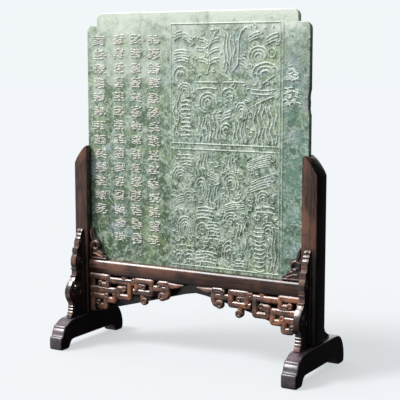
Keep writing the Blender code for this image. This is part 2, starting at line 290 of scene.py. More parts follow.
# %% The jade's colour
def jade_colour(finish):
    """The stone's colour, with the two finest noises that its roughness and its bump take up again."""
    noise, step = finish.noise, finish.step
    cloud = noise(42, detail=6, roughness=0.62, distortion=0.4)
    patch = noise(120, detail=4, roughness=0.55, distortion=0.5)
    small = noise(200, detail=6, roughness=0.68, distortion=0.3)
    grit = noise(520, detail=4, roughness=0.72)
    hue = noise(30, detail=4, roughness=0.55, distortion=0.6)
    height = finish.along("Z")
    share = (height - SLAB_LOW.z) * (1 / (SLAB_HIGH.z - SLAB_LOW.z))
    margin = finish.zone("X", 88, 104)
    panel = finish.zone("X", -34, -20)
    right = finish.zone("X", -20, 60)

    teal = margin * step(share, 0.95, 0.55)
    moss = step(cloud * 0.6 + small * 0.4, 0.50, 0.58) * (1 - margin)
    curd = step(small * 0.55 + grit * 0.45 + (cloud - 0.5) * 0.35, 0.475, 0.56)
    curd = (curd * (0.42 + share * 0.50 + panel * 0.30)).most(panel * 0.12) * (1 - margin * 0.45)
    speck = step(grit * 0.7 + small * 0.3, 0.47, 0.38)
    olive = step(patch + (small - 0.5) * 0.35 + finish.spots(DARK_CLOUDS) * -0.17, 0.455, 0.420)
    drift = finish.spots(BLUE_DRIFTS) * step(small, 0.42, 0.56)
    leaf = step(hue, 0.54, 0.66) * (0.15 + small * 0.5)
    lake = step(hue, 0.46, 0.34).most(margin * 0.4) * (0.10 + small * 0.5)
    pale = finish.spots(PALE_CLOUDS) * step(cloud, 0.34, 0.55)
    vein = step((noise(38, detail=5, distortion=1.6) - 0.5).size(), 0.020, 0.002)
    fleck = step(grit * 0.65 + small * 0.35, 0.56, 0.61)
    thread = step((noise(95, detail=3, distortion=1.3) - 0.5).size(), 0.030, 0.008)
    thread = thread * (0.14 + panel * 0.42) * (1 - margin * 0.8)
    milk = (pale * 0.6).most(vein * grit).most(fleck * 0.75).most(thread)
    # The pale top band: partly the stone's paler colour, partly a painted broad highlight
    band = step(height + (cloud - 0.5) * (60 * MM) + (small - 0.5) * (25 * MM), 316 * MM, 340 * MM)
    worn = step(small * 0.5 + grit * 0.5, 0.40, 0.56)

    layers = (
        (teal * 0.75, TEAL), (moss * 0.4, MOSS), (curd, CURD), (speck * 0.45, OLIVE),
        (olive * (1.05 - share * 0.6), OLIVE), (drift * 0.8, MIST), (leaf, LEAF), (lake, LAKE), (milk, MILK),
        (band * (0.66 + small * 0.4 + right * 0.30), TOP_PALE_AND_SHEEN),
        (finish.spots(BRUISE_SPOTS) * (0.9 - worn * 0.4), BRUISE),
        (finish.spots(BLUSH_SPOTS) * worn * 0.8, BLUSH),
    )
    colour = finish.ramp(share + (cloud - 0.5) * 0.45, GROUND)
    for cover, tone in layers:
        colour = finish.mix(cover, colour, tone)
    return colour, small, grit


# %% The jade finishes
def make_jade():
    finish = Finish("jade", Coat_Weight=0.2, Coat_Roughness=0.2, IOR=1.6)
    colour, small, grit = jade_colour(finish)
    finish.set("Base Color", colour)
    finish.set("Roughness", 0.26 + small * 0.22)
    finish.bump(small * 0.5 + grit * 0.5, 0.8, 0.7 * MM)
    return finish.material


def make_stroke_jade():
    """The same stone, frosted and paler where the tool has bruised it."""
    finish = Finish("jade_cut_strokes", IOR=1.6)
    colour, small, grit = jade_colour(finish)
    warm = finish.zone("X", -20, -34)
    right = finish.zone("X", 98, 100)
    height = finish.step(finish.along("Z"), 110 * MM, 300 * MM, smooth=False)
    frost = finish.mix(warm, (0.80, 0.87, 0.80), (0.92, 0.87, 0.82))
    whole = (0.58 + height * 0.14 + warm * 0.24 + right * 0.2) * finish.step(grit, 0.30, 0.52)
    finish.set("Base Color", finish.mix(whole, colour, frost))
    finish.set("Roughness", 0.42 + small * 0.2)
    finish.bump(grit, 0.3, 0.2 * MM)
    return finish.material


jade = make_jade()
stroke_jade = make_stroke_jade()
print("jade nodes", len(jade.node_tree.nodes), "stroke nodes", len(stroke_jade.node_tree.nodes))

# %% [markdown]
# ## Dark hardwood
# The stand is a dense tropical hardwood, nearly black with a red-brown warmth where the light rakes it. Its
# grain is fine and runs along each piece, so the noise is stretched along that piece's length. The carved
# parts have real stains, a painted highlight of paler brown where they face up, and painted shade that
# turns them nearly black in their depths.

# %% The wood finish
GRAIN_STRETCH = {"X": (0.06, 1, 1), "Y": (1, 0.06, 1), "Z": (1, 1, 0.06)}
# The paler brown of the painted highlight on carving that faces up
UPWARD_SHEEN = (0.600, 0.450, 0.400)


def stains_and_sheen(finish, colour, dark, cloud, wear_and_sheen):
    """Real stains, and a painted highlight: a paler brown where the carving faces up."""
    stain = finish.noise(150, detail=4, roughness=0.6)
    colour = finish.mix(finish.step(stain, 0.50, 0.62) * 0.6, colour, dark)
    # Painted highlight: faces that look up are mixed towards the paler brown
    facing = finish.node("ShaderNodeNewGeometry").outputs["Normal"]
    upward = Signal(finish, finish.node("ShaderNodeSeparateXYZ", None, {0: facing}).outputs["Z"])
    return finish.mix(finish.step(upward + (cloud - 0.5) * 0.6, 0.44, 0.72) * wear_and_sheen, colour, UPWARD_SHEEN)


def make_wood(name, along, tones, gloss=0.5, wear_and_sheen=0.0, patch=38, fine=700, polish=0.16,
              lit_and_shaded_bands=None, warmed_and_lit=None, painted_shade=None, shade_and_dull=None):
    """Grain along one axis in a dark, a light and a glowing tone.

    The level bands, at the given scale, are painted highlight and painted shade. The warm, shade and dull
    zones each name an axis and two places along it, in millimetres. Across the warm zone the glowing tone
    spreads, as painted light on some pieces and as a warmer tone on others; across the shade zone the wood
    darkens with painted shade; across the dull zone it darkens with painted shade and its coat loses gloss.
    """
    dark, light, glow = tones
    deepest = tuple(value * 0.5 for value in dark)
    finish = Finish(name, Coat_Weight=gloss, Coat_Roughness=polish, IOR=1.45, Specular_IOR_Level=0.4)
    noise, step, mix = finish.noise, finish.step, finish.mix
    stretch = GRAIN_STRETCH[along]
    grain = noise(fine, detail=5, roughness=0.7, distortion=0.25, stretch=stretch)
    figure = noise(110, distortion=0.7, stretch=stretch)
    pores = noise(1500, detail=2, stretch=stretch)
    cloud = noise(patch)
    colour = mix(step(figure * 0.25 + grain * 0.75, 0.43, 0.57), dark, light)
    colour = mix(step(pores, 0.50, 0.62) * 0.75, colour, deepest)
    colour = mix(step(cloud + figure * 0.3, 0.64, 0.82) * 0.8, colour, glow)
    # Level bands of painted highlight and painted shade, lighter and darker by turns up the piece
    if lit_and_shaded_bands:
        band = noise(lit_and_shaded_bands, detail=1, stretch=(0.05, 0.05, 1))
        colour = mix(step(band, 0.50, 0.56) * 0.8, colour, glow)
        colour = mix(step(band, 0.48, 0.42) * 0.7, colour, dark)
    # More of the glowing tone across a zone: painted light at the rail's left end and on the left foot, a
    # warmer tone towards the right end of the fret aprons
    if warmed_and_lit:
        colour = mix(finish.zone(*warmed_and_lit) * step(cloud, 0.38, 0.55) * 0.65, colour, glow)
    # Real stains, and a painted highlight on carving that faces up
    if wear_and_sheen:
        colour = stains_and_sheen(finish, colour, dark, cloud, wear_and_sheen)
    # Painted shade: the wood darkens across a zone, towards a piece's recesses, its lower part or where
    # another part shades it
    if painted_shade:
        colour = mix(finish.zone(*painted_shade, (cloud - 0.5) * (2 * MM)) * 0.85, colour, deepest)
    # Painted shade across a zone towards the right, where the coat also loses gloss
    if shade_and_dull:
        shaded_dull = finish.zone(*shade_and_dull)
        colour = mix(shaded_dull * 0.55, colour, dark)
        finish.set("Coat Weight", gloss - shaded_dull * (gloss * 0.6))
    finish.set("Base Color", colour)
    finish.set("Roughness", 0.20 + grain * 0.16 + cloud * (0.06 + wear_and_sheen * 0.3))
    if wear_and_sheen:
        finish.bump(grain * 0.25 + noise(330, detail=4, roughness=0.6), 0.7, 0.55 * MM)
    else:
        finish.bump(grain * 0.5 + pores * 0.5, 0.45, 0.16 * MM)
    return finish.material


print("grain runs along", ", ".join(GRAIN_STRETCH))

# %% The woods of the stand
PLAIN = ((0.018, 0.006, 0.004), (0.098, 0.041, 0.026), (0.160, 0.066, 0.038))
CARVED = ((0.026, 0.011, 0.008), (0.205, 0.090, 0.063), (0.330, 0.120, 0.050))
# Dark tones for the shaded copy of the corner-scroll finish, as painted shade
SHADED_SCROLL = ((0.012, 0.004, 0.003), (0.048, 0.020, 0.014), (0.130, 0.052, 0.032))
# Near-black tones for the painted shade on faces that look sideways
SHADE_SIDES = ((0.003, 0.002, 0.002), (0.013, 0.007, 0.006), (0.020, 0.011, 0.010))
FOOT = ((0.012, 0.007, 0.011), (0.064, 0.040, 0.054), (0.125, 0.082, 0.106))
RAIL = ((0.022, 0.008, 0.005), (0.148, 0.058, 0.036), (0.240, 0.094, 0.052))
LIPS = ((0.010, 0.004, 0.003), (0.036, 0.016, 0.012), (0.170, 0.072, 0.044))
# Bright orange tones for the lit copy of the corner-scroll finish, as painted light
LIT_SCROLL = ((0.024, 0.010, 0.006), (0.160, 0.062, 0.036), (0.400, 0.140, 0.055))

# The rail: a lighter, warmer left end as painted light, and painted shade on its lower part and towards its
# right end
wood_across = make_wood("hardwood_grain_across", "X", RAIL, 0.8, fine=420, polish=0.22,
                        warmed_and_lit=("X", -30, -100), painted_shade=("Z", 80.5, 74.5), shade_and_dull=("X", -110, 30))
# The posts: painted shade on their lower parts, where the standing brackets shade them
wood_upright = make_wood("hardwood_grain_upright", "Z", PLAIN, 0.3, painted_shade=("Z", 120, 92))
# The feet: more of the glowing tone on the left foot, as painted light
wood_foot = make_wood("hardwood_feet", "Y", FOOT, 1.0, polish=0.32, warmed_and_lit=("X", 0, -100))
# The fret aprons: a painted highlight where they face up, painted shade in their depths, and a warmer tone
# towards their right end
wood_carved = make_wood("hardwood_carved", "X", CARVED, 0.8, 0.8, 90,
                        warmed_and_lit=("X", 60, 95), painted_shade=("Y", -7.0, -4.8))
# The standing brackets: level bands of painted highlight and painted shade, and painted shade on the
# right-hand bracket
wood_bracket = make_wood("hardwood_brackets", "Z", LIPS, 0.7, 0.5, 110, lit_and_shaded_bands=170, shade_and_dull=("X", 60, 240))
# The right corner scroll's finish: a shaded copy, as painted shade
wood_scroll_shaded = make_wood("hardwood_shaded_scroll", "Z", SHADED_SCROLL, 0.7, 0.5, 110)
# The left corner scroll's finish: a lit copy, as painted light, with painted shade in its recesses
wood_scroll_lit = make_wood("hardwood_lit_scrolls", "Z", LIT_SCROLL, 1.0, 0.5, 90, painted_shade=("Y", -7.9, -6.6))
# Painted shade: near-black sideways faces and rear braces, and the same tones for the rear board
wood_shade_sides = make_wood("hardwood_painted_shade_sides", "Z", SHADE_SIDES)
wood_shaded = make_wood("hardwood_shaded_board", "X", SHADE_SIDES)
print("wood finishes ready")

# %% [markdown]
# ## Four helpers for carved work
# Everything here is sawn from boards and then carved, so four helpers are enough. A plate gives an outline
# a thickness. A rounded rim files its edges. A sweep draws a bar with a rounded face along a path, and a
# ridge is a small bar laid on a surface. All of them write into one bmesh, so each piece stays a single
# mesh.


# %% Plates with filed edges
def arc(centre, radii, start, end, steps, shrink=1.0):
    """Points along an arc of an ellipse, or along a spiral where it shrinks on its way."""
    points = []
    for step in range(steps + 1):
        share = step / steps
        angle = math.radians(start + (end - start) * share)
        size = 1 + (shrink - 1) * share
        points.append((centre[0] + radii[0] * size * math.cos(angle),
                       centre[1] + radii[1] * size * math.sin(angle)))
    return points


def plate(outline, near, far, along="Y"):
    """A flat plate from an outline, set across Y or across X."""
    shape = bmesh.new()
    rings = []
    for depth in (near, far):
        if along == "Y":
            rings.append([shape.verts.new((across, depth, up)) for across, up in outline])
        else:
            rings.append([shape.verts.new((depth, across, up)) for across, up in outline])
    shape.faces.new(rings[0])
    shape.faces.new(rings[1][::-1])
    count = len(outline)
    for index in range(count):
        after = (index + 1) % count
        shape.faces.new((rings[0][index], rings[1][index], rings[1][after], rings[0][after]))
    bmesh.ops.recalc_face_normals(shape, faces=shape.faces)
    return shape


def round_rim(shape, width, segments=3):
    """Rounds every edge between the two flat faces and the rim."""
    flats = sorted(shape.faces, key=lambda face: -len(face.verts))[:2]
    rim = [edge for flat in flats for edge in flat.edges]
    bmesh.ops.bevel(shape, geom=rim, offset=width, segments=segments, profile=0.6, affect="EDGES",
                    clamp_overlap=True)


# %% A bar along a path
def sides_of(path):
    """A unit direction across the path at each of its points, longer where it turns."""
    sides = []
    last = len(path) - 1
    for index in range(last + 1):
        here = path[index]
        into = (here - path[index - 1]).normalized() if index else None
        out = (path[index + 1] - here).normalized() if index < last else None
        into = into or out
        out = out or into
        ahead = (into + out).normalized()
        stretch = 1 / max(ahead.dot(into), 0.5)
        sides.append(Vector((-ahead.y, ahead.x)) * stretch)
    return sides


def sweep(points, faces, path, half_widths, profile, place, heights):
    """Adds a closed bar: its profile is a row of (reach, lift) shares, set up at each point of the path."""
    path = [Vector(point) for point in path]
    count = len(profile)
    rows = []
    for point, side, half, (low, high) in zip(path, sides_of(path), half_widths, heights):
        rows.append(len(points))
        for reach, lift in profile:
            spot = point + side * (half * reach)
            points.append(place(spot.x, spot.y, low + (high - low) * lift))
    for here, there in zip(rows, rows[1:]):
        for step in range(count):
            after = (step + 1) % count
            faces.append((here + step, here + after, there + after, there + step))
    faces.append(tuple(rows[0] + step for step in range(count)))
    faces.append(tuple(rows[-1] + step for step in reversed(range(count))))


print("bars can be swept")


# %% Ridges on a surface
RIDGE_PROFILE = ((-1.0, 0.0), (-0.72, 0.6), (-0.3, 1.0), (0.3, 1.0), (0.72, 0.6), (1.0, 0.0))


class Ridges:
    """Collects low ridges on one surface as vertices and faces. Its calls are in millimetres."""

    def __init__(self, place, crest, sunk=0.2):
        self.place = place
        self.crest = crest
        self.sunk = sunk
        self.points = []
        self.faces = []

    def ridge(self, path, width, taper=0.35, relief=1.0):
        """A ridge along a path of (across, up) points, narrower and lower towards its ends."""
        last = len(path) - 1
        slim = [1 - taper * (2 * index / last - 1) ** 6 for index in range(last + 1)]
        halves = [width / 2 * share for share in slim]
        heights = [(-self.sunk, self.crest * relief * (0.7 + 0.3 * share)) for share in slim]
        sweep(self.points, self.faces, path, halves, RIDGE_PROFILE, self.place, heights)

    def line(self, start, end, width, relief=1.0):
        middle = ((start[0] + end[0]) / 2, (start[1] + end[1]) / 2)
        self.ridge([start, middle, end], width, relief=relief)

    def curve(self, centre, radii, start, end, width, steps=8, shrink=1.0, taper=0.2):
        self.ridge(arc(centre, radii, start, end, steps, shrink), width, taper)


def add_faces(shape, points, faces, material_index=0):
    corners = [shape.verts.new(point) for point in points]
    added = []
    for face in faces:
        made = shape.faces.new([corners[index] for index in face])
        made.material_index = material_index
        made.smooth = True
        added.append(made)
    bmesh.ops.recalc_face_normals(shape, faces=added)


print("ridges can be laid")


# %% Finished objects
def paint_shade_on_sides(shape):
    """The faces that look sideways take the second finish, a near-black painted shade."""
    shape.normal_update()
    for face in shape.faces:
        if abs(face.normal.x) > 0.75:
            face.material_index = 1


def object_of(name, shape, materials, sharp=40):
    for face in shape.faces:
        face.smooth = True
    mesh = bpy.data.meshes.new(name)
    shape.to_mesh(mesh)
    shape.free()
    for material in materials:
        mesh.materials.append(material)
    mesh.set_sharp_from_angle(angle=math.radians(sharp))
    made = bpy.data.objects.new(name, mesh)
    bpy.context.scene.collection.objects.link(made)
    return made


def stand_for(made, node):
    """The piece rides on the object's one body and takes the place of a solid."""
    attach(made, BODY)
    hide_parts(node)
    print(made.name, "stands for", node, "with", len(made.data.polygons), "faces")
    return made


print("carving helpers ready")

# %% [markdown]
# ## Rail
# The rail is a moulding. Its front swells towards the top, where it turns over in a polished roll that
# catches the light as one long bright line, and it falls back below. The groove along its top takes the
# foot of the slab. An outline of this section, stretched across the stand, is all it needs.


# %% The rail's section
def rail_section():
    low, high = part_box("rail")
    front, back = low.y, high.y
    groove = 3.45 * MM
    outline = [(groove, high.z), (groove, SLAB_LOW.z), (-groove, SLAB_LOW.z), (-groove, high.z)]
    # The roll's slope in degrees and the length of each short step over it, from the top down to the front
    roll = (
        (8, 0.5), (18, 0.35), (30, 0.35), (42, 0.4), (50, 0.8), (56, 0.85), (62, 0.8), (74, 0.4), (85, 0.4),
    )
    here = Vector((front, high.z))
    here.x += sum(length * math.cos(math.radians(slope)) for slope, length in roll) * MM
    outline.append(tuple(here))
    for slope, length in roll:
        turn = math.radians(slope)
        here -= Vector((math.cos(turn), math.sin(turn))) * length * MM
        outline.append(tuple(here))
    fall = ((0.05, 6.0), (0.4, 8.2), (0.8, 10.2), (1.2, 12.2), (1.5, 14.0), (2.1, 15.1), (3.0, 15.5))
    outline += [(front + set_back * MM, high.z - drop * MM) for set_back, drop in fall]
    outline += [(back - 1.5 * MM, low.z), (back, low.z + 1.5 * MM), (back, high.z - 2.0 * MM)]
    outline += [(back - 0.6 * MM, high.z - 0.6 * MM), (back - 2.0 * MM, high.z)]
    return outline, low.x, high.x


rail_outline, rail_left, rail_right = rail_section()
rail_shape = plate(rail_outline, rail_left, rail_right, "X")
stand_for(object_of("cross_rail", rail_shape, [wood_across], 30), "rail")

# %% [markdown]
# ## Feet
# Each foot is a long runner with a carved toe. From the floor up, the toe has a plain rounded face, a
# narrow ledge, a face that leans back, a bead, and a slope up to the standing bracket. The rear toe is the
# plainer twin of the front one. The underside is cut away between them, so that the foot stands on its two
# ends.

# %% Foot outline
FRONT_TOE = (
    (12.0, 0.0), (2.6, 0.0), (1.2, 0.35), (0.4, 1.3), (0.1, 3.0), (0.0, 6.5), (0.25, 11.0), (0.7, 12.9),
    (1.7, 13.6), (2.7, 13.8), (3.3, 14.4), (4.3, 17.2), (5.4, 20.4), (6.2, 21.0), (6.5, 21.6), (6.7, 22.8),
    (7.5, 23.9), (8.8, 24.4), (10.2, 24.5), (12.5, 26.1), (16.0, 28.0), (20.0, 29.1), (25.0, 29.5),
)
REAR_TOE = (
    (12.0, 0.0), (3.6, 0.0), (1.8, 0.5), (0.6, 1.8), (0.1, 4.5), (0.0, 9.0), (0.9, 14.0), (2.8, 19.0),
    (5.4, 23.5), (8.6, 26.8), (12.5, 28.7), (18.0, 29.4), (25.0, 29.5),
)
ARCH = ((35.0, 8.6), (23.6, 8.6), (20.2, 8.2), (17.6, 6.8), (15.9, 4.4), (14.6, 1.9), (13.4, 0.5))


def foot_outline(tip):
    front = [(-tip + back * MM, up * MM) for back, up in ARCH + FRONT_TOE]
    rear = [(tip - back * MM, up * MM) for back, up in ARCH + REAR_TOE]
    return front + rear[::-1]


def build_foot(word):
    low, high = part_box("foot_" + word)
    shape = plate(foot_outline(high.y), low.x, high.x, "X")
    round_rim(shape, 1.5 * MM)
    # Painted shade on the foot's sideways faces
    paint_shade_on_sides(shape)
    stand_for(object_of(word + "_foot", shape, [wood_foot, wood_shade_sides], 50), "foot_" + word)


for word in ("left", "right"):
    build_foot(word)

# %% [markdown]
# ## Posts, rear braces and rear apron
# A straight copy of a solid would show knife-sharp edges, which wood never has, so the copy is cleaned of
# the triangles on its flat faces and its edges are filed round with a bevel. The braces need no more. The
# posts have the round of their shoulder drawn out into a long slope, by moving points. The board behind the
# aprons is simpler to saw afresh, because its arched lower edge rises a little higher on the right.


# %% Copy, clean and round a solid
def copy_of(node, width, segments=3, angle=35):
    shape = bmesh.new()
    shape.from_mesh(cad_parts[node].data)
    bmesh.ops.remove_doubles(shape, verts=shape.verts, dist=0.002 * MM)
    flat = math.radians(0.6)
    bmesh.ops.dissolve_limit(shape, angle_limit=flat, verts=shape.verts, edges=shape.edges)
    sharp = [edge for edge in shape.edges if edge.calc_face_angle(0) > math.radians(angle)]
    bmesh.ops.bevel(shape, geom=sharp, offset=width, segments=segments, profile=0.55, affect="EDGES",
                    clamp_overlap=True)
    return shape

# %% Posts and rear braces
SHOULDER = 19.0 * MM
CREST = 2.2 * MM
SLOPE = 1.22


def sloped_post(word):
    """The post's copy, with the round of its shoulder drawn out into a long slope."""
    low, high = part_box("post_" + word)
    shape = copy_of("post_" + word, 0.35 * MM, 2)
    start = high.z - SHOULDER
    inner = min(abs(low.x), abs(high.x)) + CREST
    run = high.x - low.x - CREST
    for vert in shape.verts:
        if vert.co.z > start:
            share = min(max((abs(vert.co.x) - inner) / run, 0.0), 1.0)
            round_height = max(1 - share ** 2, 0.0025) ** 0.5
            slope_height = (1 - share ** SLOPE) ** (1 / SLOPE)
            vert.co.z = min(start + (vert.co.z - start) * slope_height / round_height, high.z)
    # Painted shade on the post's sideways faces
    paint_shade_on_sides(shape)
    return shape


for word in ("left", "right"):
    post = object_of(word + "_post", sloped_post(word), [wood_upright, wood_shade_sides])
    stand_for(post, "post_" + word)
    # The rear braces take the near-black painted shade all over
    brace = object_of(word + "_rear_brace", copy_of("spandrel_rear_" + word, 0.8 * MM), [wood_shade_sides])
    stand_for(brace, "spandrel_rear_" + word)

# %% Rear board
REAR_EDGE = ((-121.2, 33.6), (-112, 34.2), (-92, 38.6), (-60, 47.2), (-30, 55.5), (-12, 60.5), (0, 62.8),
             (12, 61.3), (30, 57.5), (60, 50.6), (92, 41.4), (112, 35.6), (121.2, 34.2))


def build_rear_board():
    low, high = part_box("apron_rear")
    outline = [(across * MM, up * MM) for across, up in REAR_EDGE]
    outline += [(high.x, high.z), (low.x, high.z)]
    shape = plate(outline, low.y, high.y)
    round_rim(shape, 0.7 * MM)
    stand_for(object_of("rear_apron_board", shape, [wood_shaded]), "apron_rear")


build_rear_board()

# %% [markdown]
# ## Standing brackets
# A tall carved bracket braces each post from the front. Its edge is a chain of small turned-looking
# members, with a big C-scroll for a belly. The solid has that outline and the crescent cut through it. What
# is added here is the relief on both cheeks: a raised border, the curl of the scroll, and two pearls at the
# top.

# %% Standing bracket with its relief
CHEEK_CUT = 0.55


def narrowed(node, cut):
    """A copy of a solid whose two side faces are cut back, to leave room for relief."""
    low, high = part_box(node)
    shape = copy_of(node, 0.9 * MM)
    # Painted shade on the bracket's sideways faces
    paint_shade_on_sides(shape)
    middle = (low.x + high.x) / 2
    half = (high.x - low.x) / 2
    for vert in shape.verts:
        vert.co.x = middle + (vert.co.x - middle) * (half - cut) / half
    return shape, low, high


def cheek_relief(low, high, side):
    face = (high.x if side > 0 else low.x) - side * CHEEK_CUT * MM

    def on_cheek(across, up, height):
        return face + side * height * MM, across * MM, up * MM

    relief = Ridges(on_cheek, CHEEK_CUT)
    back, foot = high.y / MM, low.z / MM
    rise = high.z / MM - foot
    belly = (back - 12.6, foot + 0.295 * rise)
    relief.curve(belly, (9.4, 10.6), 70, 290, 1.5, 16)
    relief.curve(belly, (5.0, 5.4), -60, 330, 1.3, 20, shrink=0.25)
    knob = (back - 7.0, foot + 0.635 * rise)
    relief.curve(knob, (5.0, 6.0), 60, 280, 1.2, 12)
    relief.curve(knob, (2.4, 2.6), -60, 300, 1.0, 12, shrink=0.3)
    relief.ridge([(back - 19.5, foot + 3), (back - 18.2, foot + 9), (back - 17.5, foot + 13)], 1.2)
    relief.ridge([(back - 2.2, foot + 3), (back - 2.0, foot + 40), (back - 1.6, foot + 84)], 1.0, taper=0.6)
    return relief


print("the brackets' cheeks are cut back by", CHEEK_CUT, "mm")


# %% Build the standing brackets
# Two pearls at a bracket's top: set back from the post, drop below the top and radius in millimetres
PEARLS = ((2.0, 1.9, 1.8), (3.3, 6.0, 1.9))


def build_bracket(word):
    node = "spandrel_front_" + word
    shape, low, high = narrowed(node, CHEEK_CUT * MM)
    for side in (-1, 1):
        relief = cheek_relief(low, high, side)
        # The cheek relief takes the near-black painted shade too
        add_faces(shape, relief.points, relief.faces, 1)
    middle = (low.x + high.x) / 2
    for reach, drop, radius in PEARLS:
        made = bmesh.ops.create_uvsphere(shape, u_segments=12, v_segments=8, radius=radius * MM)
        centre = (middle, high.y - reach * MM, high.z - drop * MM)
        bmesh.ops.translate(shape, verts=made["verts"], vec=centre)
    bracket = object_of(word + "_standing_bracket", shape, [wood_bracket, wood_shade_sides])
    stand_for(bracket, node)


for word in ("left", "right"):
    build_bracket(word)

# %% [markdown]
# ## Corner scrolls
# A small openwork scroll fills each lower corner of the slab. It climbs the post as a slim stem, rolls into
# a round curl pierced at its eye, and runs out along the rail as a leaf.

# %% Corner scroll
# The scroll's ridges: width, and a path of (distance from the post, height over the rail), in millimetres
SCROLL_RIDGES = (
    (2.6, ((1.3, 31), (1.9, 26), (3.2, 21.5), (5.6, 18.9))),
    (1.6, ((1.2, 17), (1.2, 9), (1.6, 2))),
    (1.8, ((2.5, 1.4), (9, 1.5), (15, 1.4), (20, 1.2))),
    (2.8, ((4.0, 6.0), (8.5, 5.6), (12.5, 4.0), (15.5, 2.9))),
    (1.8, ((9.0, 8.6), (12.0, 8.2), (14.6, 6.4))),
)
SCROLL_EYE = (6.7, 13.9)
LOWERED = 2.0


def build_corner_scroll(word, side, finish):
    node = "corner_bracket_" + word
    low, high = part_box(node)
    shape = copy_of(node, 0.5 * MM, 2)
    for vert in shape.verts:
        if vert.co.y < low.y + 1.2 * MM:
            vert.co.y += LOWERED * MM
    post = high.x if side > 0 else low.x

    def on_front(across, up, height):
        return post - side * across * MM, low.y + (LOWERED - height) * MM, low.z + up * MM

    relief = Ridges(on_front, LOWERED, 0.4)
    relief.curve(SCROLL_EYE, (4.8, 5.1), 210, -160, 3.6, 22, shrink=0.60)
    for width, path in SCROLL_RIDGES:
        relief.ridge(path, width)
    add_faces(shape, relief.points, relief.faces)
    stand_for(object_of(word + "_corner_scroll", shape, [finish]), node)


# The left scroll takes the lit copy and the right one the shaded copy: painted light and painted shade
build_corner_scroll("left", -1, wood_scroll_lit)
build_corner_scroll("right", 1, wood_scroll_shaded)

# %% [markdown]
# ## Key-fret aprons
# Under the rail hang two pierced aprons. Their bands form a key fret, each band is rounded like a cord, and
# some ends roll into small knobs. Each band is swept along its own path, with its outer corners eased, and
# stands a little higher or lower than its neighbours, as if they were laid over and under.

# %% The fret's paths
# Distance from the post and drop below the rail, and how far the band stands back, in millimetres
FRET_BAND = 6.5
FRET_PATHS = (
    (((2.1, 0), (2.1, 38.7)), 0.9),
    (((0, 2.1), (21.7, 2.1), (21.7, 10.6), (12.8, 10.6)), 0.0),
    (((0, 15.7), (30.0, 15.7), (30.0, 25.9), (21.0, 25.9), (20.4, 22.6)), 0.2),
    (((0, 23.0), (18.4, 23.0), (18.4, 33.4), (10.6, 33.4), (9.8, 30.6)), 0.5),
    (((21.7, 4.9), (57.6, 4.9)), 0.5),
    (((48.9, 5.2), (48.9, 20.9), (35.2, 20.9), (35.2, 13.0), (41.2, 13.0)), 0.1),
    (((41.7, 0), (41.7, 4.9)), 0.9),
    (((53.4, 13.9), (75.6, 13.9), (75.6, 2.1), (57.6, 2.1), (57.6, 13.9)), 0.2),
    (((58.0, 7.8), (65.0, 7.8)), 0.7),
    (((64.7, 14.2), (64.7, 22.4), (67.0, 23.2)), 0.6),
    (((75.9, 7.8), (94.6, 7.8)), 0.5),
    (((85.0, 2.1), (94.6, 2.1), (94.6, 11.5), (92.8, 15.0), (88.8, 16.2)), 0.2),
)
FRET_KNOBS = (
    (12.2, 9.1, 3.2), (19.8, 21.7, 3.0), (9.5, 29.5, 2.9), (42.0, 12.4, 3.0), (66.2, 7.8, 2.6),
    (66.4, 22.4, 4.0), (88.0, 15.4, 4.4), (84.6, 3.2, 2.9), (53.6, 2.7, 2.6),
)
FRET_LEAF = ((94.0, 2.1), (100.5, 3.4), (106.0, 2.8), (113.4, 1.2))
BAND_PROFILE = (
    (-1.0, 0.0), (1.0, 0.0), (1.0, 0.66), (0.94, 0.75), (0.58, 0.975), (0.44, 1.0),
    (-0.44, 1.0), (-0.58, 0.975), (-0.94, 0.75), (-1.0, 0.66),
)


def eased(path, radius, steps=3):
    """A path whose corners are rounded off."""
    path = [Vector(point) for point in path]
    smooth = [path[0]]
    for before, corner, after in zip(path, path[1:], path[2:]):
        into = corner - before
        out = after - corner
        reach = min(radius, into.length * 0.45, out.length * 0.45)
        start = corner - into.normalized() * reach
        end = corner + out.normalized() * reach
        for step in range(steps + 1):
            share = step / steps
            smooth.append(start.lerp(corner, share).lerp(corner.lerp(end, share), share))
    smooth.append(path[-1])
    return smooth


print("fret bands", len(FRET_PATHS), "knobs", len(FRET_KNOBS))


# %% Build the two aprons
def build_fret(word, side):
    node = "apron_front_" + word
    low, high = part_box(node)
    post = high.x if side > 0 else low.x
    depth = (high.y - low.y) / MM
    points, faces = [], []

    def in_apron(across, drop, height):
        return post - side * across * MM, high.y - height * MM, high.z - drop * MM

    def bar(path, halves, back):
        heights = [(0.0, depth - back)] * len(path)
        sweep(points, faces, path, halves, BAND_PROFILE, in_apron, heights)

    for path, back in FRET_PATHS:
        way = eased(path, 0.9)
        bar(way, [FRET_BAND / 2] * len(way), back)
    for across, drop, radius in FRET_KNOBS:
        way = arc((across, drop), (radius * 0.62, radius * 0.62), 0, 358, 15)
        bar(way, [radius * 0.40] * len(way), 0.0)
        bar([(across - 0.3, drop), (across + 0.3, drop)], [radius * 0.3] * 2, 1.4)
    bar(FRET_LEAF, [2.0, 3.2, 2.2, 0.4], 0.3)
    shape = bmesh.new()
    add_faces(shape, points, faces)
    stand_for(object_of(word + "_fret_apron", shape, [wood_carved], 26), node)


build_fret("left", -1)
build_fret("right", 1)

# %% [markdown]
# ## The slab and its shallow strokes
# The front of the slab carries four columns of small signs on the left and a framed panel of large seal-
# like signs on the right. Here they are rows of made-up strokes that spell nothing. Each stroke is a low
# ridge with sloping sides, drawn along a path, and all of them are joined to the slab as one piece.

# %% The slab's ridges
# The ground lies below the solid's frame lines, and the crests end just short of the solid's front
GROUND_DROP = 0.45 * MM
CREST_GAP = 0.02 * MM
SLAB_FACE = SLAB_FRONT + GROUND_DROP
SLAB_CREST = (SLAB_FACE - SLAB_LOW.y - CREST_GAP) / MM


def on_slab(across, up, height):
    return across * MM, SLAB_FACE - height * MM, up * MM


